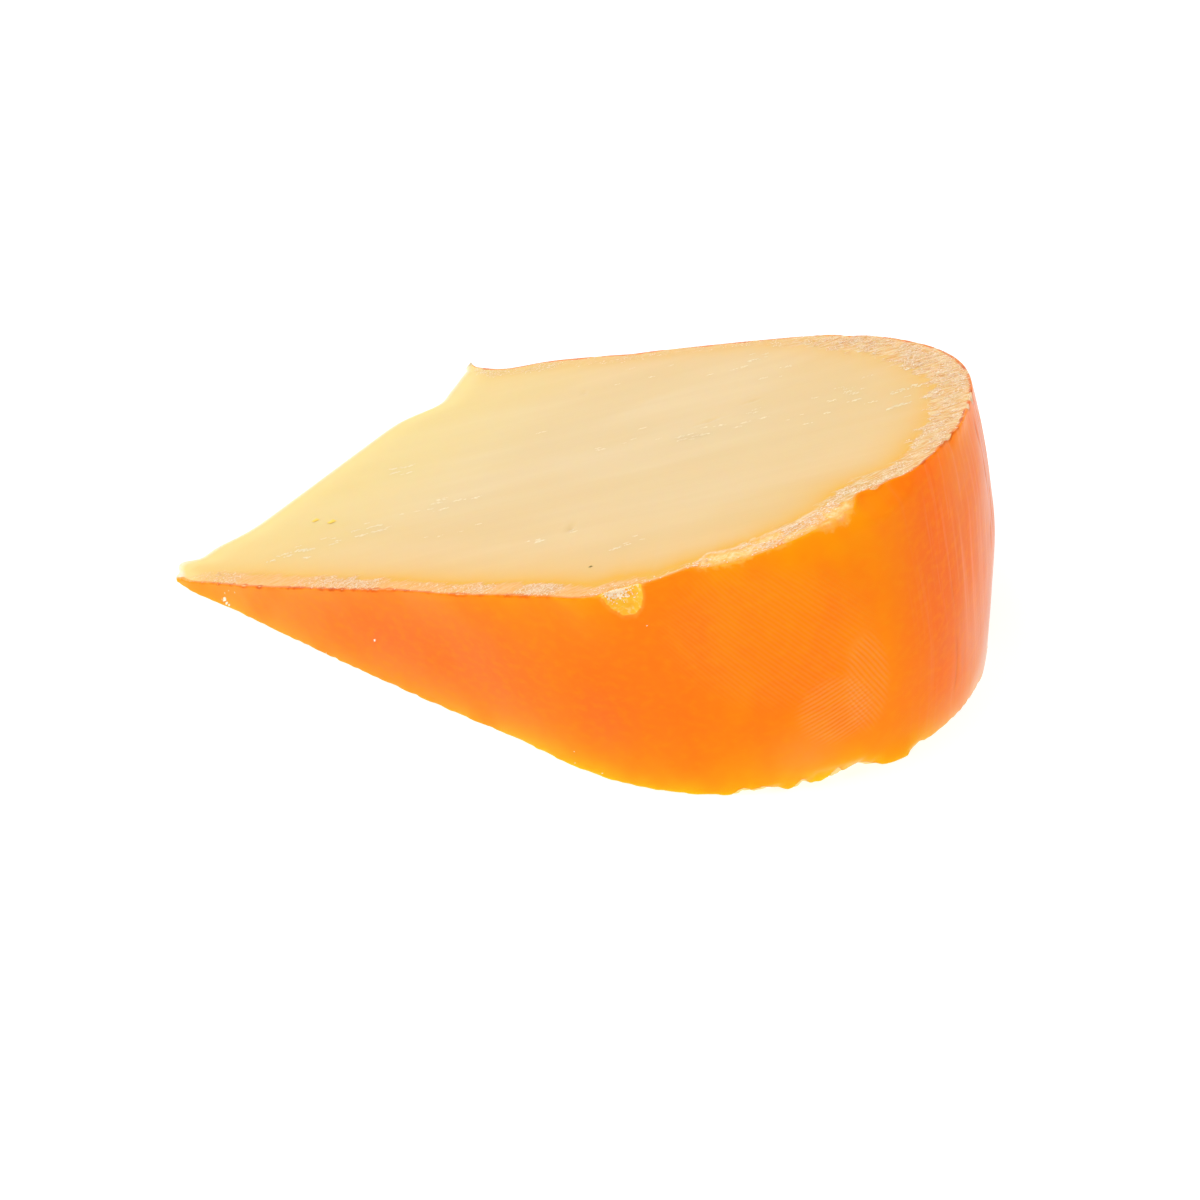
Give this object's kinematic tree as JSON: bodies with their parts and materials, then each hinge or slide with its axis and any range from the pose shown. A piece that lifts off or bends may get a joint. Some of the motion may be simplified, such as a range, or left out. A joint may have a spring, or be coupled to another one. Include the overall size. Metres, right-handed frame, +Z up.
{
  "type": "cheese wedge",
  "caption": "Wedge cut from a round wheel of semi-hard cheese with an orange coat, lying on its lower cut face.",
  "frame": {"origin": "centre of the bounding box's bottom: the point on the surface that the wedge lies on, under its middle", "axes": "+X from the thin edge towards the round rim, +Y along the wheel's axis, +Z up, away from the lower cut face"},
  "size_m": [0.1444, 0.1, 0.0503],
  "materials": {
    "cheese": "satin"
  },
  "bodies": {
    "root": {"cheese_wedge": "cheese"}
  },
  "joints": []
}
